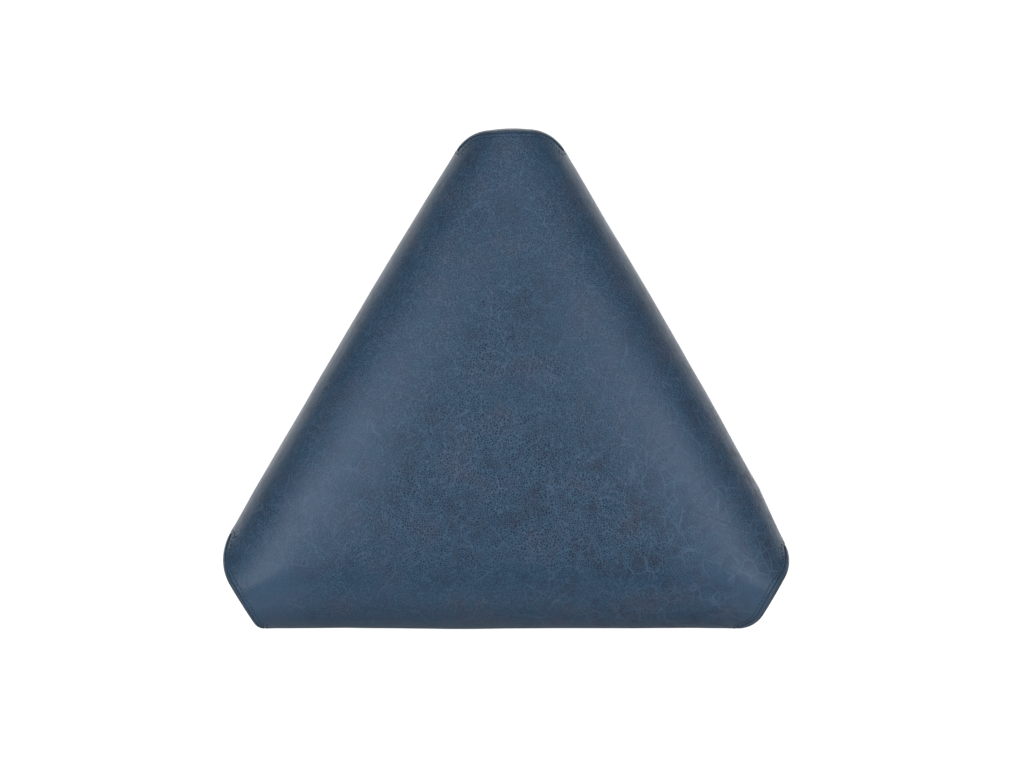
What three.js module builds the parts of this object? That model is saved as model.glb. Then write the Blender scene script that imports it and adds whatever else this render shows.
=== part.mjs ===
// A triangular ottoman in soft blue leather, with its three corners cut short.
// Millimetres, +Z up, +Y towards the narrow end, the origin at the middle of the base.
//
// One leather wrap makes the crowned top and rolls over the three long edges into the walls.
// A sewn strip closes each cut corner and swells a little past its seam. A plain cloth panel
// lies in a shallow recess of the underside.

import * as THREE from 'three';

// Heights
const HEIGHT = 430; // floor to the middle of the crown
const CROWN = 24; // how far the middle of the top swells above its rolled edges
const ROLL = 76; // the depth over which the leather turns from the top to a wall
const ROLL_POWER = 2.3; // the roll's section: 2 is a quarter circle, more is fuller
const ROLL_MELT = 1.5; // how sharply two rolls meet towards a corner; more is sharper
const BASE_ROUND = 12; // radius of the lower edge
const DRAW_IN = 6; // how far the walls draw in from their widest line to the floor

// Pieces
const GAP = 0.3; // between neighbouring pieces
const STRIP_EDGE = 2; // thickness of a corner strip along its seams
const STRIP_RISE = 40; // length below the top seam over which a strip swells to its full thickness
const LIP = 2; // length over which the wrap steps back beside a strip
const BORDER = 20; // leather turned under the base, around the cloth
const CLOTH_THICKNESS = 2;

// How finely the curved faces are divided
const CORNER_STEPS = 5;
const ROUND_STEPS = 3;
const WALL_STEPS = 7;
const ROLL_STEPS = 7;
const TOP_STEPS = 6;

// The sides of the plan, anticlockwise. facing is the outward direction in degrees, reach the
// distance from the middle of the triangle, bow how far the middle of the side swells past a
// straight line, turn the radius of the corner that follows and steps the side's divisions.
// A side with a wall is rolled. One with a strip is cut short, and full is its strip's thickness.
const SIDES = [
  { wall: 'front', facing: -90, reach: 190.5, bow: 0, turn: 31, steps: 17 },
  { strip: 'corner_strip_right', facing: -30.3, reach: 307.8, bow: 0, turn: 35, steps: 4, full: 7 },
  { wall: 'right', facing: 24.5, reach: 208.1, bow: 0, turn: 120, steps: 3 },
  { wall: 'right', facing: 30, reach: 192.9, bow: 1.5, turn: 42, steps: 15 },
  { strip: 'corner_strip_apex', facing: 91.5, reach: 308, bow: 1, turn: 40, steps: 4, full: 5 },
  { wall: 'left', facing: 149.4, reach: 191.8, bow: 2, turn: 50, steps: 17 },
  { strip: 'corner_strip_left', facing: 211.5, reach: 312.9, bow: 0, turn: 12, steps: 4, full: 5 },
];

const FULL_TURN = 360;
const SIDE_REACH = 192; // mean reach of the rolled sides
const WALL_TOP = HEIGHT - CROWN - ROLL; // where the rolled edges begin
const BASE_SCALE = 1 - (BASE_ROUND + DRAW_IN) / SIDE_REACH;
const RECESS_SCALE = BASE_SCALE - BORDER / SIDE_REACH;

const leather = new THREE.MeshStandardMaterial({ color: 0x3c5167, roughness: 0.42, metalness: 0 });
const stripLeather = new THREE.MeshStandardMaterial({ color: 0x41556a, roughness: 0.45, metalness: 0 });
const cloth = new THREE.MeshStandardMaterial({ color: 0x26282b, roughness: 0.95, metalness: 0 });

function direction(degrees) {
  const angle = THREE.MathUtils.degToRad(degrees);
  return new THREE.Vector2(Math.cos(angle), Math.sin(angle));
}

// Completes each side with its ends, where it meets the round corners before and after it.
function setOut(sides) {
  const corner = (a, b) => {
    const [n, m] = [direction(a.facing), direction(b.facing)];
    const x = (a.reach * m.y - b.reach * n.y) / n.cross(m);
    const y = (b.reach * n.x - a.reach * m.x) / n.cross(m);
    const turned = THREE.MathUtils.euclideanModulo(b.facing - a.facing, FULL_TURN);
    const cutBack = a.turn * Math.tan(THREE.MathUtils.degToRad(turned) / 2);
    return { point: new THREE.Vector2(x, y), turned, cutBack };
  };
  return sides.map((side, i) => {
    const before = corner(sides.at(i - 1), side);
    const after = corner(side, sides[(i + 1) % sides.length]);
    const normal = direction(side.facing);
    const along = direction(side.facing + 90);
    const start = before.point.clone().addScaledVector(along, before.cutBack);
    const end = after.point.clone().addScaledVector(along, -after.cutBack);
    return { ...side, normal, along, start, end, length: start.distanceTo(end), turned: after.turned };
  });
}

const plan = setOut(SIDES);

// How far a point lies inside the rolled side, whose swell is greatest at its middle.
function depthFrom(side, x, y) {
  const point = new THREE.Vector2(x, y);
  const middle = side.start.clone().lerp(side.end, 0.5);
  const offset = point.clone().sub(middle).dot(side.along) / (side.length / 2);
  return side.reach + side.bow * Math.max(0, 1 - offset ** 2) - point.dot(side.normal);
}

// The height of the top over a point: rolled down towards each wall and swollen in the middle,
// as a skin over a triangle swells.
function topHeight(x, y) {
  let drop = 0;
  let swell = CROWN;
  for (const wall of ['front', 'right', 'left']) {
    const sides = plan.filter((side) => side.wall === wall);
    const depth = Math.max(0, Math.min(...sides.map((side) => depthFrom(side, x, y))));
    const rest = Math.max(0, 1 - depth / ROLL);
    drop += (ROLL * (1 - (1 - rest ** ROLL_POWER) ** (1 / ROLL_POWER))) ** ROLL_MELT;
    swell *= depth / SIDE_REACH;
  }
  return HEIGHT - CROWN + swell - drop ** (1 / ROLL_MELT);
}

// How far the walls stand in from their widest line.
function wallInset(z) {
  const rounding = Math.max(0, 1 - z / BASE_ROUND);
  const drawn = Math.max(0, 1 - z / WALL_TOP);
  return BASE_ROUND * (1 - Math.sqrt(1 - rounding ** 2)) + DRAW_IN * drawn ** 2;
}

const wallScale = (z) => 1 - wallInset(z) / SIDE_REACH;

// The outline as a row of points, anticlockwise, each with its outward direction and strip.
function outline() {
  const points = [];
  plan.forEach((side, i) => {
    const after = plan[(i + 1) % plan.length];
    for (let k = 0; k <= side.steps; k++) {
      const share = THREE.MathUtils.lerp(LIP, side.length - LIP, k / side.steps) / side.length;
      const at = side.start.clone().lerp(side.end, share);
      at.addScaledVector(side.normal, side.bow * (1 - (2 * share - 1) ** 2));
      points.push({ at, normal: side.normal, strip: side.strip });
    }
    const centre = side.end.clone().addScaledVector(side.normal, -side.turn);
    for (let k = 0; k <= CORNER_STEPS; k++) {
      const normal = direction(side.facing + (side.turned * k) / CORNER_STEPS);
      const at = centre.clone().addScaledVector(normal, side.turn);
      points.push({ at, normal, strip: side.strip ?? after.strip });
    }
  });
  return points;
}

// The outline's points under one strip, in order, each with its share of the strip's width.
function underStrip(points, strip) {
  const first = points.findIndex((p, i) => p.strip === strip && points.at(i - 1).strip !== strip);
  const covered = [...points.slice(first), ...points.slice(0, first)].filter((p) => p.strip === strip);
  const width = [0];
  covered.slice(1).forEach((p, i) => width.push(width[i] + p.at.distanceTo(covered[i].at)));
  covered.forEach((p, i) => { p.share = width[i] / width.at(-1); });
  return covered;
}

// Sets the wrap's own points back under each strip, by the strip's thickness there.
function setBack(points) {
  for (const { strip, full } of plan.filter((side) => side.strip)) {
    for (const p of underStrip(points, strip)) {
      p.thickness = STRIP_EDGE + (full - STRIP_EDGE) * Math.sin(Math.PI * p.share);
    }
  }
  for (const p of points) {
    p.wrap = p.at.clone().addScaledVector(p.normal, p.strip ? -p.thickness - GAP : 0);
  }
  return points;
}

const rim = setBack(outline());

// The heights at which a wall is divided, from the floor to the top of it.
function wallLevels(top) {
  const levels = [];
  for (let k = 0; k < ROUND_STEPS; k++) {
    levels.push(BASE_ROUND * (1 - Math.cos((Math.PI / 2) * (k / ROUND_STEPS))));
  }
  for (let k = 0; k <= WALL_STEPS; k++) {
    levels.push(THREE.MathUtils.lerp(BASE_ROUND, top, Math.sin((Math.PI / 2) * (k / WALL_STEPS))));
  }
  return levels;
}

const rimTop = (p) => topHeight(p.wrap.x, p.wrap.y);

function body(points, faces) {
  const geometry = new THREE.BufferGeometry();
  geometry.setAttribute('position', new THREE.Float32BufferAttribute(points.flatMap((p) => [...p]), 3));
  geometry.setIndex(faces);
  geometry.computeVertexNormals();
  return geometry;
}

// A closed body of rings, from the middle of its underside outwards, up and in to its top.
function bodyOfRings(rings, underMiddle, topMiddle) {
  const count = rings[0].length;
  const points = [...rings.flat(), underMiddle, topMiddle];
  const faces = [];
  for (let k = 0; k < count; k++) {
    const next = (k + 1) % count;
    faces.push(points.length - 2, next, k);
    for (let ring = 1; ring < rings.length; ring++) {
      const [inner, outer] = [(ring - 1) * count, ring * count];
      faces.push(inner + k, inner + next, outer + next, inner + k, outer + next, outer + k);
    }
    const last = (rings.length - 1) * count;
    faces.push(last + k, last + next, points.length - 1);
  }
  return body(points, faces);
}

// A closed body between an outer and an inner sheet of the same rows and columns.
function bodyOfSheets(outer, inner) {
  const [rows, columns] = [outer.length, outer[0].length];
  const points = [...outer.flat(), ...inner.flat()];
  const out = (row, column) => row * columns + column;
  const within = (row, column) => rows * columns + out(row, column);
  const faces = [];
  const quad = (a, b, c, d) => faces.push(a, b, c, a, c, d);
  for (let r = 0; r < rows - 1; r++) {
    for (let c = 0; c < columns - 1; c++) {
      quad(out(r, c), out(r, c + 1), out(r + 1, c + 1), out(r + 1, c));
      quad(within(r, c), within(r + 1, c), within(r + 1, c + 1), within(r, c + 1));
    }
    quad(out(r, 0), out(r + 1, 0), within(r + 1, 0), within(r, 0));
    const end = columns - 1;
    quad(within(r, end), within(r + 1, end), out(r + 1, end), out(r, end));
  }
  for (let c = 0; c < columns - 1; c++) {
    const top = rows - 1;
    quad(within(0, c), within(0, c + 1), out(0, c + 1), out(0, c));
    quad(out(top, c), out(top, c + 1), within(top, c + 1), within(top, c));
  }
  return body(points, faces);
}

// The wrap: its recessed underside, walls, rolled edges and crowned top.
function wrapGeometry() {
  const recess = CLOTH_THICKNESS + GAP;
  const rings = [recess, 0].map((z) => rim.map(({ at }) => new THREE.Vector3(
    at.x * RECESS_SCALE, at.y * RECESS_SCALE, z)));
  const columns = rim.map((p) => wallLevels(rimTop(p)).map((z) => new THREE.Vector3(
    p.wrap.x * wallScale(z), p.wrap.y * wallScale(z), z)));
  columns[0].forEach((_, level) => rings.push(columns.map((column) => column[level])));
  const topRing = (scale) => rim.map(({ wrap }) => new THREE.Vector3(
    wrap.x * scale, wrap.y * scale, topHeight(wrap.x * scale, wrap.y * scale)));
  for (let k = 1; k <= ROLL_STEPS; k++) {
    const inset = ROLL * (1 - Math.cos((Math.PI / 2) * (k / ROLL_STEPS)));
    rings.push(topRing(1 - inset / SIDE_REACH));
  }
  for (let k = 1; k < TOP_STEPS; k++) {
    rings.push(topRing((1 - ROLL / SIDE_REACH) * (1 - k / TOP_STEPS)));
  }
  return bodyOfRings(rings, new THREE.Vector3(0, 0, recess), new THREE.Vector3(0, 0, topHeight(0, 0)));
}

// A corner strip: it lies on the wrap, thin along its seams and swollen between them.
function stripGeometry(strip) {
  const covered = underStrip(rim, strip);
  const sheet = (lift) => {
    const columns = covered.map((p, i) => {
      const along = new THREE.Vector2(-p.normal.y, p.normal.x);
      const clear = GAP * ((i === 0) - (i === covered.length - 1));
      return wallLevels(rimTop(p)).map((z) => {
        const rise = Math.sin((Math.PI / 2) * Math.min(1, (rimTop(p) - z) / STRIP_RISE));
        const swell = STRIP_EDGE + (p.thickness - STRIP_EDGE) * rise;
        const at = p.wrap.clone().multiplyScalar(wallScale(z));
        at.addScaledVector(p.normal, GAP + lift * swell).addScaledVector(along, clear);
        return new THREE.Vector3(at.x, at.y, z);
      });
    });
    return columns[0].map((_, level) => columns.map((column) => column[level]));
  };
  return bodyOfSheets(sheet(1), sheet(0));
}

// The cloth panel of the underside, flush with the leather turned under around it.
function clothGeometry() {
  const scale = RECESS_SCALE - GAP / SIDE_REACH;
  const rings = [0, CLOTH_THICKNESS].map((z) => rim.map(({ at }) => new THREE.Vector3(
    at.x * scale, at.y * scale, z)));
  return bodyOfRings(rings, new THREE.Vector3(0, 0, 0), new THREE.Vector3(0, 0, CLOTH_THICKNESS));
}

function piece(name, geometry, material) {
  const mesh = new THREE.Mesh(geometry, material);
  mesh.name = name;
  return mesh;
}

const ottoman = new THREE.Group();
ottoman.add(piece('top_wrap', wrapGeometry(), leather));
for (const { strip } of plan.filter((side) => side.strip)) {
  ottoman.add(piece(strip, stripGeometry(strip), stripLeather));
}
ottoman.add(piece('base_cloth', clothGeometry(), cloth));

// The origin goes to the middle of the base.
const middle = new THREE.Box3().setFromObject(ottoman).getCenter(new THREE.Vector3());
ottoman.position.set(-middle.x, -middle.y, 0);

export default ottoman;
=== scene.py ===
"""The looks of the triangular leather ottoman: its wrap, corner strips, seams, stitches and base cloth.

Metres, +Z up, +Y towards the narrow end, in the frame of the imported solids.
"""

import math

import bpy
import numpy as np
from mathutils import Matrix, Vector, noise
from mathutils.bvhtree import BVHTree
from mathutils.kdtree import KDTree


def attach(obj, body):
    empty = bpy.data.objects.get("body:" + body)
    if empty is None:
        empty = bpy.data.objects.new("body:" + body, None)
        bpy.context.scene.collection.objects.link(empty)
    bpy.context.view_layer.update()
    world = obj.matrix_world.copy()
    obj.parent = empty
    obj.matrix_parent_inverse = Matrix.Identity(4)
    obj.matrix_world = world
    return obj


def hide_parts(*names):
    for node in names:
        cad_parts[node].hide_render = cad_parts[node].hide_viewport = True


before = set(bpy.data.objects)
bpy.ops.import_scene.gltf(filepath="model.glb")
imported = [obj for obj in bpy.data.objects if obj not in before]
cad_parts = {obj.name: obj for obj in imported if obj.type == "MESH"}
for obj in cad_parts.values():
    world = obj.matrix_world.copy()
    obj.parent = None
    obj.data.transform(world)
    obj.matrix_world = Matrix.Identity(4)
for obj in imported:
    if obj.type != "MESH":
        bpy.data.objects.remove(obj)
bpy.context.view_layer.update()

MM = 0.001

# Heights
HEIGHT = 430 * MM  # floor to the middle of the crown
CROWN = 24 * MM  # how far the middle of the top swells above its rolled edges
ROLL = 76 * MM  # the depth over which the leather turns from the top to a wall
ROLL_POWER = 2.3  # the roll's section: 2 is a quarter circle, more is fuller
ROLL_MELT = 1.5  # how sharply two rolls meet towards a corner
BASE_ROUND = 12 * MM  # radius of the lower edge
DRAW_IN = 6 * MM  # how far the walls draw in towards the floor
SIDE_REACH = 192 * MM  # mean distance of the rolled sides from the middle
WALL_TOP = HEIGHT - CROWN - ROLL

# Pieces
GAP = 0.3 * MM  # between the wrap and the pieces that lie in its recesses
STRIP_EDGE = 2 * MM  # how far the wrap is set back along a strip's seams
TOP_LEAN = 2.5 * MM  # how far the cut corners lean in from the widest line to ROLL above it
SHOULDER = 9 * MM  # height below the top seam over which a strip rounds out
STRIP_RISE = 45 * MM  # height below the top seam over which it reaches all of it
STRIP_DIP = 3 * MM  # width over which a strip dives to its seam
STRIP_SEAM = 0.65  # share of its thickness that a strip keeps at the seam
BORDER = 20 * MM  # leather turned under the base
CLOTH_THICKNESS = 2 * MM
CLOTH_SLACK = 0.8 * MM  # the most that the base cloth rises off the floor between its fixings
CLOTH_WAVE = 70 * MM  # across one slow wave of the base cloth
PUCKER_SPACING = 36 * MM  # from one fixing of the base cloth to the next

# Seams
FOLD = 1.5 * MM  # radius of the wrap's folded edge
SEAM_PAD = 0.45 * MM  # how far the seam allowance lifts the leather beside the seam
SEAM_PAD_WIDTH = 7 * MM
STITCH_INSET = 3.4 * MM  # from the seam to the topstitching
STITCH_GROOVE = 0.45 * MM  # how deep the stitches pull the leather in
STITCH_GROOVE_WIDTH = 0.8 * MM
STITCH_PITCH = 4.4 * MM
STITCH_LENGTH = 3.2 * MM
THREAD_RADIUS = 0.42 * MM

# Slackness of the leather: the size, height and seed of its slow waves
SLACK_WAVES = [(90 * MM, 0.9 * MM, 1), (35 * MM, 0.25 * MM, 2)]
SLACK_FROM, SLACK_FULL = 2 * MM, 40 * MM  # distances from a seam between which the waves grow

# The sides of the plan, anticlockwise, as in the solids: outward direction in degrees, distance from the
# middle, how far the middle of the side bows out, and the radius of the corner that follows. A strip also
# has its full thickness and the share of its swell that it reaches at its shoulder.
SIDES = [
    dict(wall="front", facing=-90, reach=190.5, bow=0, turn=31),
    dict(strip="corner_strip_right", facing=-30.3, reach=307.8, bow=0, turn=35, full=7, shoulder=0.72),
    dict(wall="right", facing=24.5, reach=208.1, bow=0, turn=120),
    dict(wall="right", facing=30, reach=192.9, bow=1.5, turn=42),
    dict(strip="corner_strip_apex", facing=91.5, reach=308, bow=1, turn=40, full=5, shoulder=0.5),
    dict(wall="left", facing=149.4, reach=191.8, bow=2, turn=50),
    dict(strip="corner_strip_left", facing=211.5, reach=312.9, bow=0, turn=12, full=5, shoulder=0.45),
]
STRIPS = [side["strip"] for side in SIDES if "strip" in side]
LENGTHS = ("reach", "bow", "turn", "full")  # what is given in millimetres above


# Plan


def direction(degrees):
    angle = math.radians(degrees)
    return np.array([math.cos(angle), math.sin(angle)])


def set_out(sides):
    """Each side with its ends, where it meets the round corners before and after it."""
    sides = [{k: v * MM if k in LENGTHS else v for k, v in side.items()} for side in sides]
    corners = []
    for side, after in zip(sides, sides[1:] + sides[:1]):
        normals = np.array([direction(side["facing"]), direction(after["facing"])])
        point = np.linalg.solve(normals, [side["reach"], after["reach"]])
        turned = (after["facing"] - side["facing"]) % 360
        corners.append((point, turned, side["turn"] * math.tan(math.radians(turned) / 2)))
    for i, side in enumerate(sides):
        (before, _, cut_before), (after, turned, cut_after) = corners[i - 1], corners[i]
        along = direction(side["facing"] + 90)
        side.update(normal=direction(side["facing"]), along=along, turned=turned,
                    start=before + along * cut_before, end=after - along * cut_after)
        side["length"] = float(np.linalg.norm(side["end"] - side["start"]))
    return sides


PLAN = set_out(SIDES)


def depth_from(side, points):
    """How far points lie inside a rolled side, whose bow is greatest at its middle."""
    offset = (points - (side["start"] + side["end"]) / 2) @ side["along"] / (side["length"] / 2)
    return side["reach"] + side["bow"] * np.maximum(0, 1 - offset**2) - points @ side["normal"]


def top_height(points):
    """The height of the top over points of the plan: rolled down to each wall and swollen in the middle."""
    drop, swell = 0, CROWN
    for wall in ("front", "right", "left"):
        depths = [depth_from(side, points) for side in PLAN if side.get("wall") == wall]
        depth = np.maximum(0, np.min(depths, axis=0))
        rest = np.maximum(0, 1 - depth / ROLL)
        drop = drop + (ROLL * (1 - (1 - rest**ROLL_POWER) ** (1 / ROLL_POWER))) ** ROLL_MELT
        swell = swell * depth / SIDE_REACH
    return HEIGHT - CROWN + swell - drop ** (1 / ROLL_MELT)


def wall_scale(z):
    """How much narrower the walls stand at a height than at their widest line."""
    rounding = np.clip(1 - z / BASE_ROUND, 0, 1)
    drawn = np.clip(1 - z / WALL_TOP, 0, 1)
    leaning = np.clip((z - WALL_TOP) / ROLL, 0, 1)
    inset = BASE_ROUND * (1 - np.sqrt(1 - rounding**2)) + DRAW_IN * drawn**2 + TOP_LEAN * leaning**2
    return 1 - inset / SIDE_REACH


# How finely the surfaces are divided
WALL_SPACING = 7 * MM  # along the long sides
CORNER_SPACING = 3 * MM  # around the corners
LEVEL_SPACING = 9 * MM  # up the walls
FOLD_TURN = np.radians([0, 22, 45, 67, 90])
ROLL_TURN = np.radians(np.arange(30, 90.1, 3))
UNDER_SHARES = (0.04, 0.3, 0.6, 0.9, 1)  # across the recess of the base cloth
CLOTH_SHARES = np.concatenate([np.linspace(0.05, 0.9, 18), np.linspace(0.91, 0.985, 7)])
EVENED_OUT = 30 * MM  # inside the seams, where the rings no longer follow the set-back corners
BESIDE_SEAM = np.array([2.2, 2.9, 3.4, 3.9, 4.8, 6.2, 8.5, 12]) * MM
STRIP_BESIDE_SEAM = np.array([0, 0.7, 1.5, 2.5, 3.7, 5.2, 7.2]) * MM


def graded(length, first, last, spacing):
    """Distances along a length: the ones given from each end, and even ones between."""
    low, high = first[-1], length - last[-1]
    count = max(2, round((high - low) / spacing))
    return np.concatenate([first[:-1], np.linspace(low, high, count + 1), length - last[-2::-1]])


def outline():
    """The outline as rows, anticlockwise: the point, the outward direction, the strip that covers it and
    how far the leather has turned in there towards a seam."""
    rows = []
    seam_end = np.concatenate([FOLD * (1 - np.cos(FOLD_TURN)), BESIDE_SEAM])
    open_end = np.array([0.0, WALL_SPACING])
    even = np.array([0.0, CORNER_SPACING])
    for i, side in enumerate(PLAN):
        after = PLAN[(i + 1) % len(PLAN)]
        strip = side.get("strip")
        seam_before, seam_after = "strip" in PLAN[i - 1], "strip" in after
        if strip:
            runs = graded(side["length"], even, even, CORNER_SPACING)[1:-1]
        else:
            runs = graded(side["length"], seam_end if seam_before else open_end,
                          seam_end if seam_after else open_end, WALL_SPACING)
        for run in runs:
            bow = side["bow"] * (1 - (2 * run / side["length"] - 1) ** 2)
            at = side["start"] + side["along"] * run + side["normal"] * bow
            to_seam = min(run if seam_before else FOLD, side["length"] - run if seam_after else FOLD, FOLD)
            sink = 0 if strip else FOLD - math.sqrt(FOLD**2 - (FOLD - to_seam) ** 2)
            rows.append(dict(at=at, normal=side["normal"], strip=strip, sink=sink))
        centre = side["end"] - side["normal"] * side["turn"]
        arc = side["turn"] * math.radians(side["turned"])
        if strip or seam_after:
            runs = graded(arc, even if strip else STRIP_BESIDE_SEAM, STRIP_BESIDE_SEAM if strip else even,
                          CORNER_SPACING)
        else:
            runs = graded(arc, even, even, CORNER_SPACING)[1:-1]
        for run in runs:
            normal = direction(side["facing"] + side["turned"] * run / arc)
            rows.append(dict(at=centre + normal * side["turn"], normal=normal,
                             strip=strip or after.get("strip"), sink=0))
    return rows


def under_strip(rows, strip):
    """The outline's rows under one strip, in order."""
    first = next(i for i, row in enumerate(rows) if row["strip"] == strip and rows[i - 1]["strip"] != strip)
    return [row for row in rows[first:] + rows[:first] if row["strip"] == strip]


def set_back(rows):
    """Gives each row the wrap's own point, turned in at a seam or set back under a strip by its thickness,
    and the height and place where its wall ends."""
    for side in PLAN:
        if "strip" in side:
            covered = under_strip(rows, side["strip"])
            points = np.array([row["at"] for row in covered])
            run = np.concatenate([[0], np.cumsum(np.linalg.norm(np.diff(points, axis=0), axis=1))])
            for row, along in zip(covered, run):
                swell = (side["full"] - STRIP_EDGE) * math.sqrt(math.sin(math.pi * along / run[-1]))
                row["thickness"] = STRIP_EDGE + swell
                row["to_seam"] = min(along, run[-1] - along)
                row["sink"] = row["thickness"] + GAP
                row["shoulder"] = side["shoulder"]
    for row in rows:
        row["own"] = row["at"] - row["normal"] * row["sink"]
        reached = float(top_height(row["own"][None])[0])
        reached = float(top_height(row["own"][None] * wall_scale(reached))[0])
        row["top"] = reached - (FOLD if row["strip"] else 0)
        row["crest"] = row["own"] * wall_scale(row["top"])
    return rows


RIM = set_back(outline())
PLAN_MIDDLE = (np.min([row["at"] for row in RIM], axis=0) + np.max([row["at"] for row in RIM], axis=0)) / 2
BASE_SCALE = 1 - (BASE_ROUND + DRAW_IN) / SIDE_REACH
RECESS_SCALE = BASE_SCALE - BORDER / SIDE_REACH


def levels(top):
    """Heights from the floor to a wall's top, close together round the lower edge and under the top."""
    low = BASE_ROUND * (1 - np.cos(np.radians([0, 18, 36, 54, 72])))
    count = round((WALL_TOP - BASE_ROUND) / LEVEL_SPACING)
    rise = np.sin(np.linspace(0, math.pi / 2, count + 1))
    return np.concatenate([low, BASE_ROUND + (top - BASE_ROUND) * rise])


# Meshes


def new_object(name, points, faces):
    mesh = bpy.data.meshes.new(name)
    mesh.from_pydata([tuple(p) for p in points], [], faces)
    mesh.shade_smooth()
    made = bpy.data.objects.new(name, mesh)
    bpy.context.scene.collection.objects.link(made)
    return made


def coordinates(thing):
    points = np.empty(len(thing.data.vertices) * 3)
    thing.data.vertices.foreach_get("co", points)
    return points.reshape(-1, 3)


def move_out(thing, distances):
    """Moves each vertex along its normal."""
    normals = np.empty(len(thing.data.vertices) * 3)
    thing.data.vertices.foreach_get("normal", normals)
    moved = coordinates(thing) + normals.reshape(-1, 3) * distances[:, None]
    thing.data.vertices.foreach_set("co", moved.ravel())
    thing.data.update()


def smooth_step(low, high, value):
    share = np.clip((value - low) / (high - low), 0, 1)
    return share * share * (3 - 2 * share)


def on_plane(plane, z):
    return np.column_stack([plane, np.broadcast_to(z, len(plane))])


def closed_rings(name, rings, first, last):
    """A closed piece from rings round the plan, with a point in the middle of the first and of the last."""
    count = len(RIM)
    points = np.concatenate(rings + [[first], [last]])
    faces = []
    for ring in range(len(rings) - 1):
        low, high = ring * count, (ring + 1) * count
        faces += [(low + k, low + (k + 1) % count, high + (k + 1) % count, high + k) for k in range(count)]
    end = (len(rings) - 1) * count
    faces += [(len(points) - 2, (k + 1) % count, k) for k in range(count)]
    faces += [(end + k, end + (k + 1) % count, len(points) - 1) for k in range(count)]
    points[:, :2] -= PLAN_MIDDLE
    return new_object(name, points, faces)


def make_wrap():
    """The leather wrap, from the middle of its underside outwards, up the walls and over the top."""
    keys = ("at", "own", "normal", "crest")
    at, own, normal, crest = (np.array([row[key] for row in RIM]) for key in keys)
    folded = np.array([1.0 if row["strip"] else 0.0 for row in RIM])
    recess = CLOTH_THICKNESS + GAP
    rings = [on_plane(at * RECESS_SCALE * share, recess) for share in UNDER_SHARES]
    rings += [on_plane(at * scale, 0) for scale in (RECESS_SCALE, (RECESS_SCALE + BASE_SCALE) / 2)]
    heights = np.array([levels(row["top"]) for row in RIM]).T
    rings += [on_plane(own * wall_scale(z)[:, None], z) for z in heights]
    for angle in FOLD_TURN[1:]:
        plane = crest - normal * FOLD * (1 - math.cos(angle))
        rings.append(on_plane(plane, top_height(plane) - FOLD * folded * (1 - math.sin(angle))))
    beside = BESIDE_SEAM[:-2]
    rings += [on_plane(crest - normal * inset, top_height(crest - normal * inset)) for inset in beside]
    crown_insets = np.linspace(ROLL, SIDE_REACH * 0.97, 26)[1:]
    for inset in np.concatenate([ROLL * (1 - np.cos(ROLL_TURN)), crown_insets]):
        share = smooth_step(beside[-1], EVENED_OUT, inset)
        near = (crest - normal * beside[-1]) * (1 - (inset - beside[-1]) / SIDE_REACH)
        plane = near * (1 - share) + at * (1 - inset / SIDE_REACH) * share
        rings.append(on_plane(plane, top_height(plane)))
    crown = (0, 0, top_height(np.zeros((1, 2)))[0])
    return closed_rings("leather_wrap", rings, (0, 0, recess), crown)


def make_strip(strip):
    """A corner strip: thin where it dives under the wrap's folded edge, swollen between its seams."""
    covered = under_strip(RIM, strip)
    sheets = []
    for lift in (1, 0):
        columns = []
        for i, row in enumerate(covered):
            normal = row["normal"]
            along = np.array([-normal[1], normal[0]])
            clear = GAP * ((i == 0) - (i == len(covered) - 1))
            z = levels(row["top"])
            below_seam = row["top"] - z
            dive = 1 - (1 - STRIP_SEAM) * math.exp(-row["to_seam"] / STRIP_DIP)
            dive = np.minimum(dive, 1 - (1 - STRIP_SEAM) * np.exp(-below_seam / STRIP_DIP))
            rise = row["shoulder"] * np.sqrt(1 - np.maximum(0, 1 - below_seam / SHOULDER) ** 2)
            rise += (1 - row["shoulder"]) * smooth_step(0, STRIP_RISE, below_seam)
            swell = (STRIP_EDGE + (row["thickness"] - STRIP_EDGE) * rise) * dive
            plane = row["own"] * wall_scale(z)[:, None] + along * clear
            plane = plane + normal * (GAP + lift * swell)[:, None]
            columns.append(np.column_stack([plane, z]))
        sheets.append(np.array(columns).transpose(1, 0, 2))
    rows, width, _ = sheets[0].shape
    points = np.concatenate([sheet.reshape(-1, 3) for sheet in sheets])
    points[:, :2] -= PLAN_MIDDLE

    def out(row, column):
        return row * width + column

    def within(row, column):
        return rows * width + out(row, column)

    faces = []
    end, top = width - 1, rows - 1
    for r in range(top):
        for c in range(end):
            faces.append((out(r, c), out(r, c + 1), out(r + 1, c + 1), out(r + 1, c)))
            faces.append((within(r, c), within(r + 1, c), within(r + 1, c + 1), within(r, c + 1)))
        faces.append((out(r, 0), out(r + 1, 0), within(r + 1, 0), within(r, 0)))
        faces.append((within(r, end), within(r + 1, end), out(r + 1, end), out(r, end)))
    for c in range(end):
        faces.append((within(0, c), within(0, c + 1), out(0, c + 1), out(0, c)))
        faces.append((out(top, c), out(top, c + 1), within(top, c + 1), within(top, c)))
    return new_object("leather_" + strip, points, faces)


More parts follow.
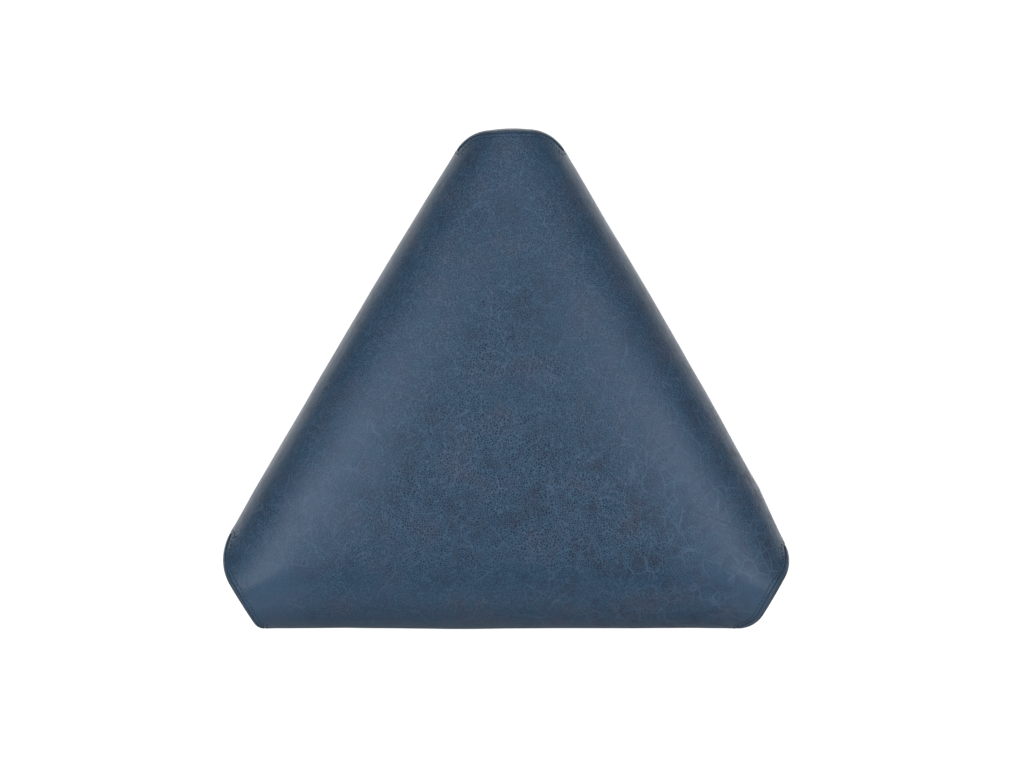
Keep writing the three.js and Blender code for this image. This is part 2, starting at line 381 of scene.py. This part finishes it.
def make_base_cloth():
    """The cloth stretched across the underside: turned over at its edge, where its fixings pull it into
    short puckers, and a little slack in its middle."""
    at = np.array([row["at"] for row in RIM]) * (RECESS_SCALE - GAP / SIDE_REACH)
    run = np.concatenate([[0], np.cumsum(np.linalg.norm(np.diff(at, axis=0), axis=1))])
    puckers = round(run[-1] / PUCKER_SPACING)
    pucker = 0.5 + 0.5 * np.sin(2 * math.pi * puckers * run / (run[-1] + CORNER_SPACING))
    rings = []
    for share in CLOTH_SHARES:
        near_edge = float(smooth_step(0.8, 0.96, share) * smooth_step(1, 0.97, share))
        slack = 0.5 + 0.5 * waves(on_plane(at * share, 0), CLOTH_WAVE, 5)
        rise = CLOTH_SLACK * (slack * (1 - near_edge) + pucker * near_edge)
        rings.append(on_plane(at * share, rise * smooth_step(1, 0.95, share)))
    under = (0, 0, rings[0][:, 2].mean())
    half = CLOTH_THICKNESS / 2
    for angle in np.linspace(math.pi, 0, 7):
        inset = half * (1 - math.sin(angle))
        rings.append(on_plane(at * (1 - inset / SIDE_REACH), half * (1 + math.cos(angle))))
    rings += [on_plane(at * share, CLOTH_THICKNESS) for share in CLOTH_SHARES[::-1]]
    return closed_rings("woven_base_cloth", rings, under, (0, 0, CLOTH_THICKNESS))


def beside_seam(strip, inset, spacing):
    """A path on the wrap that follows a strip's seam up one side, over the top and down the other side."""
    covered = under_strip(RIM, strip)
    crest = [row["crest"] - row["normal"] * inset for row in covered]
    sides = []
    for row, sign in ((covered[0], -1), (covered[-1], 1)):
        along = np.array([-row["normal"][1], row["normal"][0]]) * sign * inset
        z = np.arange(BASE_ROUND, WALL_TOP, 2 * MM)
        sides.append(np.column_stack([(row["at"] + along) * wall_scale(z)[:, None], z]))
        corner = row["crest"] + along - row["normal"] * inset
        crest.insert(0 if sign < 0 else len(crest), corner)
    crest = np.array(crest)
    path = np.concatenate([sides[0], on_plane(crest, top_height(crest)), sides[1][::-1]])
    path[:, :2] -= PLAN_MIDDLE
    run = np.concatenate([[0], np.cumsum(np.linalg.norm(np.diff(path, axis=0), axis=1))])
    steps = np.arange(spacing, run[-1] - spacing, spacing)
    return np.column_stack([np.interp(steps, run, path[:, axis]) for axis in range(3)])


def distances_to(points, lines):
    """How far each point is from the nearest of the lines' points."""
    places = np.concatenate(lines)
    tree = KDTree(len(places))
    for i, place in enumerate(places):
        tree.insert(place, i)
    tree.balance()
    return np.array([tree.find(point)[2] for point in points])


def waves(points, size, seed):
    """Slow waves between about -1 and 1 over a surface, of a given size."""
    shift = Vector((7.3, 3.1, 1.7)) * seed
    return np.array([noise.noise(Vector(point) / size + shift) for point in points])


def dress_wrap(thing):
    """Lifts the leather over the seam allowances, pulls it in under the stitches and leaves it a little
    slack."""
    points = coordinates(thing)
    away = distances_to(points, [beside_seam(strip, 0, 0.5 * MM) for strip in STRIPS])
    lift = SEAM_PAD * np.exp(-((away / SEAM_PAD_WIDTH) ** 2)) * smooth_step(0, FOLD, away)
    pull = STITCH_GROOVE * np.exp(-(((away - STITCH_INSET) / STITCH_GROOVE_WIDTH) ** 2))
    slack = sum(waves(points, size, seed) * height for size, height, seed in SLACK_WAVES)
    slack *= smooth_step(SLACK_FROM, SLACK_FULL, away)
    above_base = smooth_step(BASE_ROUND, 2 * BASE_ROUND, points[:, 2])
    move_out(thing, (lift - pull + slack) * above_base)


def stitch_shape():
    """One stitch of thread along X, sunk at both ends, as points and faces."""
    stations = [(-0.5, 0.3, -1.2), (-0.42, 0.8, -0.5), (-0.2, 1, 0.1), (0.2, 1, 0.1), (0.42, 0.8, -0.5),
                (0.5, 0.3, -1.2)]  # share of the length, share of the thread's radius, rise in radii
    around = 6
    points, faces = [], []
    for share, thick, rise in stations:
        for k in range(around):
            angle = 2 * math.pi * k / around
            points.append((share * STITCH_LENGTH, THREAD_RADIUS * thick * math.cos(angle),
                           THREAD_RADIUS * (thick * math.sin(angle) + rise)))
    for s in range(len(stations) - 1):
        low, high = s * around, (s + 1) * around
        turn = [(k, (k + 1) % around) for k in range(around)]
        faces += [(low + k, low + after, high + after, high + k) for k, after in turn]
    faces.append(tuple(reversed(range(around))))
    faces.append(tuple(range((len(stations) - 1) * around, len(stations) * around)))
    return points, faces


def make_stitches(strip, surface):
    """A row of topstitching on the wrap, beside a strip's seam."""
    path = beside_seam(strip, STITCH_INSET, STITCH_PITCH)
    shape, shape_faces = stitch_shape()
    points, faces = [], []
    for before, place, after in zip(path, path[1:], path[2:]):
        on, up, _, _ = surface.find_nearest(place)
        along = Vector(after - before)
        along = (along - up * along.dot(up)).normalized()
        turn = Matrix((along, up.cross(along), up)).transposed()
        faces += [tuple(v + len(points) for v in face) for face in shape_faces]
        points += [on + turn @ Vector(point) for point in shape]
    return new_object("stitches_" + strip, points, faces)


wrap = make_wrap()
dress_wrap(wrap)
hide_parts("top_wrap")
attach(wrap, "root")

wrap_faces = [tuple(face.vertices) for face in wrap.data.polygons]
wrap_surface = BVHTree.FromPolygons([vertex.co for vertex in wrap.data.vertices], wrap_faces)
strips, stitches = [], []
for name in STRIPS:
    strip_piece = make_strip(name)
    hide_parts(name)
    strips.append(strip_piece)
    stitches.append(make_stitches(name, wrap_surface))
for piece in strips + stitches:
    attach(piece, "root")

base_cloth = make_base_cloth()
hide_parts("base_cloth")
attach(base_cloth, "root")


# Finishes


class Field:
    """A value that varies over a surface, for sums written in Python."""

    def __init__(self, nodes, socket):
        self.nodes, self.socket = nodes, socket

    def maths(self, operation, first, second):
        return self.nodes.node("ShaderNodeMath", {"operation": operation}, {0: first, 1: second})

    def __add__(self, other):
        return self.maths("ADD", self, other)

    def __radd__(self, other):
        return self.maths("ADD", other, self)

    def __sub__(self, other):
        return self.maths("SUBTRACT", self, other)

    def __rsub__(self, other):
        return self.maths("SUBTRACT", other, self)

    def __mul__(self, other):
        return self.maths("MULTIPLY", self, other)

    def __rmul__(self, other):
        return self.maths("MULTIPLY", other, self)


class Nodes:
    """A node tree and the ways to add to it."""

    def __init__(self, tree):
        self.tree = tree

    def node(self, kind, settings=None, inputs=None, output=0):
        """A node of a kind: its settings first, then the values or fields of its sockets."""
        made = self.tree.nodes.new(kind)
        for key, value in (settings or {}).items():
            setattr(made, key, value)
        for key, value in (inputs or {}).items():
            self.put(made.inputs[key], value)
        return Field(self, made.outputs[output])

    def put(self, socket, value):
        if isinstance(value, Field):
            self.tree.links.new(value.socket, socket)
        else:
            socket.default_value = value

    def fade(self, value, low, high, start=0.0, end=1.0):
        """A smooth change from start to end while a value goes from low to high."""
        return self.node("ShaderNodeMapRange", {"interpolation_type": "SMOOTHSTEP"}, {
            "Value": value, "From Min": low, "From Max": high, "To Min": start, "To Max": end})


class Finish(Nodes):
    """A material, its shader and the patterns that a surface may carry."""

    def __init__(self, name):
        self.material = bpy.data.materials.new(name)
        self.material.use_nodes = True
        super().__init__(self.material.node_tree)
        self.shader = self.tree.nodes["Principled BSDF"]
        self.place = self.node("ShaderNodeTexCoord", output="Object")

    def wear(self, sockets):
        """Sets the surface's own sockets."""
        for key, value in sockets.items():
            self.put(self.shader.inputs[key], value)

    def clouds(self, size, detail=2.0, roughness=0.5, output=0):
        return self.node("ShaderNodeTexNoise", {}, {
            "Vector": self.place, "Scale": 1 / size, "Detail": detail, "Roughness": roughness}, output)

    def from_cell_edge(self, place, size):
        """How far a place lies from the edge of its cell, as a share of the cells' size."""
        return self.node("ShaderNodeTexVoronoi", {"feature": "DISTANCE_TO_EDGE"},
                         {"Vector": place, "Scale": 1 / size})

    def mix(self, share, first, second, blend="MIX"):
        """A colour between two, or the first one dyed by the second."""
        made = self.tree.nodes.new("ShaderNodeMix")
        made.data_type = "RGBA"
        made.blend_type = blend
        self.put(made.inputs["Factor"], share)
        colours = [socket for socket in made.inputs if socket.type == "RGBA"]
        for socket, value in zip(colours, (first, second)):
            self.put(socket, value if isinstance(value, Field) else (*value, 1))
        return Field(self, next(socket for socket in made.outputs if socket.type == "RGBA"))

    def away_from(self, point):
        """How far the place is from a point."""
        return self.node("ShaderNodeVectorMath", {"operation": "DISTANCE"},
                         {0: self.place, 1: point}, "Value")

    def depth(self, wall):
        """How far a place lies inside a rolled edge."""
        side = next(side for side in reversed(PLAN) if side.get("wall") == wall)
        outward = self.node("ShaderNodeVectorMath", {"operation": "DOT_PRODUCT"},
                            {0: self.place, 1: (*side["normal"], 0)}, "Value")
        return side["reach"] - float(PLAN_MIDDLE @ side["normal"]) - outward

    def paint_highlight_along(self, wall):
        """A painted highlight: a paler band along a rolled edge, fading towards the narrow end."""
        depth = self.depth(wall)
        across = self.fade(depth, 15 * MM, 55 * MM) * self.fade(depth, 60 * MM, 130 * MM, 1.0, 0.0)
        along = self.node("ShaderNodeSeparateXYZ", inputs={0: self.place}, output="Y")
        return across * self.fade(along, -120 * MM, 190 * MM, 1.0, 0.15)

    def weave(self, pitch):
        """Threads over and under each other, as a height from 0 to 1."""
        over = 0.5
        for axis in "XY":
            run = self.node("ShaderNodeSeparateXYZ", inputs={0: self.place}, output=axis)
            over = self.node("ShaderNodeMath", {"operation": "SINE"}, {0: run * (math.pi / pitch)}) * over
        return over + 0.5

    def wander(self, size, amount):
        """The place, moved about by clouds of a size."""
        by = self.clouds(size, output="Color")
        centred = self.node("ShaderNodeVectorMath", {"operation": "SUBTRACT"}, {0: by, 1: (0.5, 0.5, 0.5)})
        scaled = self.node("ShaderNodeVectorMath", {"operation": "SCALE"}, {0: centred, "Scale": amount})
        return self.node("ShaderNodeVectorMath", {"operation": "ADD"}, {0: self.place, 1: scaled})


GRAIN = 2.35 * MM  # across the grain's cells, which the surface cuts a little smaller
VEIN = 17 * MM  # across one field between veins
CREASE = 44 * MM  # between the long fine creases
CLEAR_GRAIN = 65 * MM  # across the areas where the grain is clear
PATCH = 40 * MM  # across the purplish and dark patches
SPOT = 13 * MM  # across the small dark spots
PORES = 1.3 * MM  # across the finest unevenness
RELIEF = 0.26 * MM  # the height of the grain
NAVY = (0.005, 0.039, 0.095)  # the middle of a pebble
TEAL = (0.071, 0.162, 0.269)  # the network between the pebbles
DUSK = (1.65, 0.94, 0.91)  # what the purplish patches make of the leather's colour
DEEP = (0.92, 0.64, 0.67)  # and the dark patches
PAINTED_SHEEN_GREY = (0.120, 0.145, 0.175)  # a painted sheen: the grey that the corner strips are mixed towards, in place of their grazing reflection
PALE_WAX_AND_HIGHLIGHT = (0.100, 0.184, 0.306)  # where the wax has lifted along veins and creases, and the painted highlight along the left and right rolls
WORN_CORNER = (200 * MM, -190 * MM, 400 * MM)  # the most used corner
CLOTH_PITCH = 1.1 * MM  # from one thread of the base cloth to the next
PAPER_GLOW = 0.75  # what leaves the paper white in the picture


def leather(name, painted_sheen=0.0):
    """Waxed pull-up leather: dark pebbles in a paler network, with veins, creases, patches, a painted
    highlight along the left and right rolls and a soft gloss. The share given after the name is mixed
    towards grey, a painted sheen."""
    finish = Finish(name)
    pebble = finish.from_cell_edge(finish.wander(12 * MM, 3.5 * MM), GRAIN)
    network = finish.fade(pebble, 0.0, 0.21, 1.0, 0.0)
    # painted highlight: paler bands along the left and right rolled edges, weaker towards the narrow end
    painted_highlight = finish.paint_highlight_along("left") + finish.paint_highlight_along("right")
    front = finish.fade(finish.depth("front"), 40 * MM, 90 * MM, 1.0, 0.0)
    clarity = finish.fade(finish.clouds(CLEAR_GRAIN, 3), 0.36, 0.56, 0.68, 0.92)
    clarity = clarity * (1 - painted_highlight * 0.3) * (1 - front * 0.4)
    patches = finish.clouds(PATCH, 4, 0.6)
    dusky = finish.fade(patches, 0.45, 0.68)
    deep = finish.fade(patches, 0.5, 0.3)
    worn = finish.fade(finish.away_from(WORN_CORNER), 60 * MM, 240 * MM, 1.0, 0.0)
    spots = finish.fade(finish.clouds(SPOT, 3, 0.6), 0.5, 0.62) * (0.3 + worn * 0.7)
    crackle = finish.from_cell_edge(finish.wander(20 * MM, 9 * MM), VEIN)
    vein = finish.fade(crackle, 0.0, 0.06, 1.0, 0.0) * finish.fade(finish.clouds(34 * MM), 0.44, 0.6)
    folds = finish.from_cell_edge(finish.wander(45 * MM, 30 * MM), CREASE)
    crease = finish.fade(folds, 0.0, 0.016, 1.0, 0.0) * finish.fade(finish.clouds(27 * MM), 0.45, 0.58)
    colour = finish.mix(0.5 + (network - 0.5) * clarity, NAVY, TEAL)
    colour = finish.mix(dusky * 0.7, colour, DUSK, "MULTIPLY")
    colour = finish.mix(deep * 0.65 + spots * 0.6, colour, DEEP, "MULTIPLY")
    # veins and creases lift pale; the bands along the left and right rolls add a painted highlight
    colour = finish.mix(vein * (0.2 + worn * 0.32) + crease * 0.5 + painted_highlight * 0.36, colour, PALE_WAX_AND_HIGHLIGHT)
    # painted sheen: a greyer tone that stands in for the grazing reflection on the strips
    colour = finish.mix(painted_sheen, colour, PAINTED_SHEEN_GREY)
    relief = finish.fade(pebble, 0.0, 0.3) * clarity + finish.clouds(PORES) * 0.2
    bump = finish.node("ShaderNodeBump", inputs={"Strength": 0.8, "Distance": RELIEF, "Height": relief})
    dull = network * clarity * 0.17 + spots * 0.08
    finish.wear({"Base Color": colour, "Roughness": dull + 0.295, "Normal": bump})
    return finish.material


def thread(name):
    """Waxed navy thread, uneven where its strands twist."""
    finish = Finish(name)
    strands = finish.clouds(0.5 * MM, 2)
    bump = finish.node("ShaderNodeBump", inputs={"Strength": 0.7, "Distance": 0.1 * MM, "Height": strands})
    colour = finish.mix(finish.fade(strands, 0.35, 0.65), (0.014, 0.030, 0.058), (0.034, 0.060, 0.102))
    finish.wear({"Base Color": colour, "Roughness": 0.5 + strands * 0.2, "Normal": bump})
    return finish.material


def woven(name):
    """Plain dark cloth: a weave of charcoal threads, a little uneven and dusty."""
    finish = Finish(name)
    threads = finish.weave(CLOTH_PITCH)
    dust = finish.clouds(60 * MM, 4, 0.6)
    bump = finish.node("ShaderNodeBump", inputs={"Strength": 0.6, "Distance": 0.3 * MM, "Height": threads})
    colour = finish.mix(threads * (0.4 + dust * 0.6), (0.010, 0.011, 0.013), (0.036, 0.038, 0.042))
    finish.wear({"Base Color": colour, "Roughness": 0.8 + dust * 0.15, "Normal": bump})
    return finish.material


def white_paper(name):
    """The studio's seamless paper, with a glow that leaves it white in the picture."""
    finish = Finish(name)
    colour = finish.mix(finish.clouds(0.5, 3), (0.83, 0.83, 0.83), (0.87, 0.87, 0.87))
    finish.wear({"Base Color": colour, "Roughness": 0.9, "Emission Color": (1, 1, 1, 1),
                 "Emission Strength": PAPER_GLOW})
    return finish.material


wrap.data.materials.append(leather("blue_leather"))
# the corner strips carry a painted sheen, greyed as if by their grazing reflection
strip_leather = leather("blue_strip_leather", painted_sheen=0.3)
for piece in strips:
    piece.data.materials.append(strip_leather)
navy_thread = thread("navy_thread")
for piece in stitches:
    piece.data.materials.append(navy_thread)
base_cloth.data.materials.append(woven("charcoal_cloth"))


# Studio

FLOOR_HALF = 8
floor = new_object("floor", [(-FLOOR_HALF, -FLOOR_HALF, 0), (FLOOR_HALF, -FLOOR_HALF, 0),
                             (FLOOR_HALF, FLOOR_HALF, 0), (-FLOOR_HALF, FLOOR_HALF, 0)], [(0, 1, 2, 3)])
floor.data.materials.append(white_paper("white_paper"))
floor.visible_glossy = False
floor.visible_diffuse = False

LIGHTS_AIM = Vector((0, 0, 400 * MM))  # the point just under the top that all the lights face
LIGHT_DISTANCE = 2.2  # from that point


def softbox(name, facing, tilt, width, height, radiance):
    """A soft rectangular light: the direction it stands in, its angle from straight up, its size and how
    bright it is."""
    lamp = bpy.data.lights.new(name, "AREA")
    lamp.shape = "RECTANGLE"
    lamp.size, lamp.size_y = width, height
    lamp.energy = math.pi * width * height * radiance
    out = direction(facing) * math.sin(math.radians(tilt))
    towards = Vector((*out, math.cos(math.radians(tilt))))
    made = bpy.data.objects.new(name, lamp)
    made.location = LIGHTS_AIM + towards * LIGHT_DISTANCE
    made.rotation_euler = (-towards).to_track_quat("-Z", "Y").to_euler()
    bpy.context.scene.collection.objects.link(made)


softbox("left_softbox", 183, 38, 1.8, 1.75, 1.5)
softbox("right_softbox", 359, 38, 1.8, 1.75, 1.35)
softbox("far_softbox", 90, 36, 1.3, 1.5, 0.8)


def make_room():
    """A dim room, paler below and beside the ottoman than in front of it or above."""
    world = bpy.data.worlds.new("pale_room")
    bpy.context.scene.world = world
    world.use_nodes = True
    room = Nodes(world.node_tree)
    towards = room.node("ShaderNodeTexCoord", output="Generated")
    ahead = room.node("ShaderNodeSeparateXYZ", inputs={0: towards}, output="Y")
    up = room.node("ShaderNodeSeparateXYZ", inputs={0: towards}, output="Z")
    behind = room.fade(ahead, -0.12, 0.1, 0.05, 1.0)
    below = room.fade(up, -0.93, -0.5, 1.35, 0.0) * behind
    beside = room.fade(up, -0.35, 0.15, 0.0, 0.28) * room.fade(up, 0.45, 0.9, 1.0, 0.0)
    in_front = room.fade(ahead, -0.7, -0.1, 0.17, 0.075)
    background = world.node_tree.nodes["Background"]
    room.put(background.inputs["Color"], (1, 1, 1, 1))
    room.put(background.inputs["Strength"], below + beside + in_front)


make_room()
bpy.context.scene.view_settings.view_transform = "Standard"

# The camera, straight above the top face
CAMERA_ABOVE = 3.0  # from the widest line of the ottoman
FRAME_WIDTH = 1.028  # what the picture takes in at that line
PHOTO_OFFSET = (5.9 * MM, -5.1 * MM)  # the middle of the picture from the middle of the ottoman
SENSOR = 36
camera_data = bpy.data.cameras.new("camera")
camera_data.sensor_width = SENSOR
camera_data.lens = SENSOR * CAMERA_ABOVE / FRAME_WIDTH
camera = bpy.data.objects.new("camera", camera_data)
camera.location = (*PHOTO_OFFSET, WALL_TOP + CAMERA_ABOVE)
bpy.context.scene.collection.objects.link(camera)
bpy.context.scene.camera = camera
